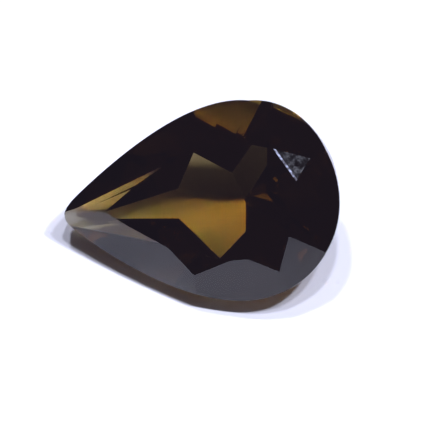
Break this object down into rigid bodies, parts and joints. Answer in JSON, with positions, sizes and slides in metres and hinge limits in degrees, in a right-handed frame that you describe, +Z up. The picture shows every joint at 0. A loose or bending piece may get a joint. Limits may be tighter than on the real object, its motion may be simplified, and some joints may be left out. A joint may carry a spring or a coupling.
{
  "type": "pear cut smoky quartz gemstone",
  "caption": "Faceted teardrop gemstone of clear brown quartz, with a broad flat table, a low crown, a thin girdle and a deep pavilion, lying tilted on a pavilion facet.",
  "frame": {"origin": "on the surface the stone lies on, below the middle of its box", "axes": "+X towards the rounded head with the tip at -X, +Y away from the side that the table leans down to, +Z up from the resting facet"},
  "size_m": [0.0178, 0.0114, 0.0091],
  "materials": {
    "smoky_quartz": "clear polished smoky quartz, see-through brown, with one worn star facet beside the table"
  },
  "bodies": {
    "root": {"pear_cut_stone": "smoky_quartz"}
  },
  "joints": []
}
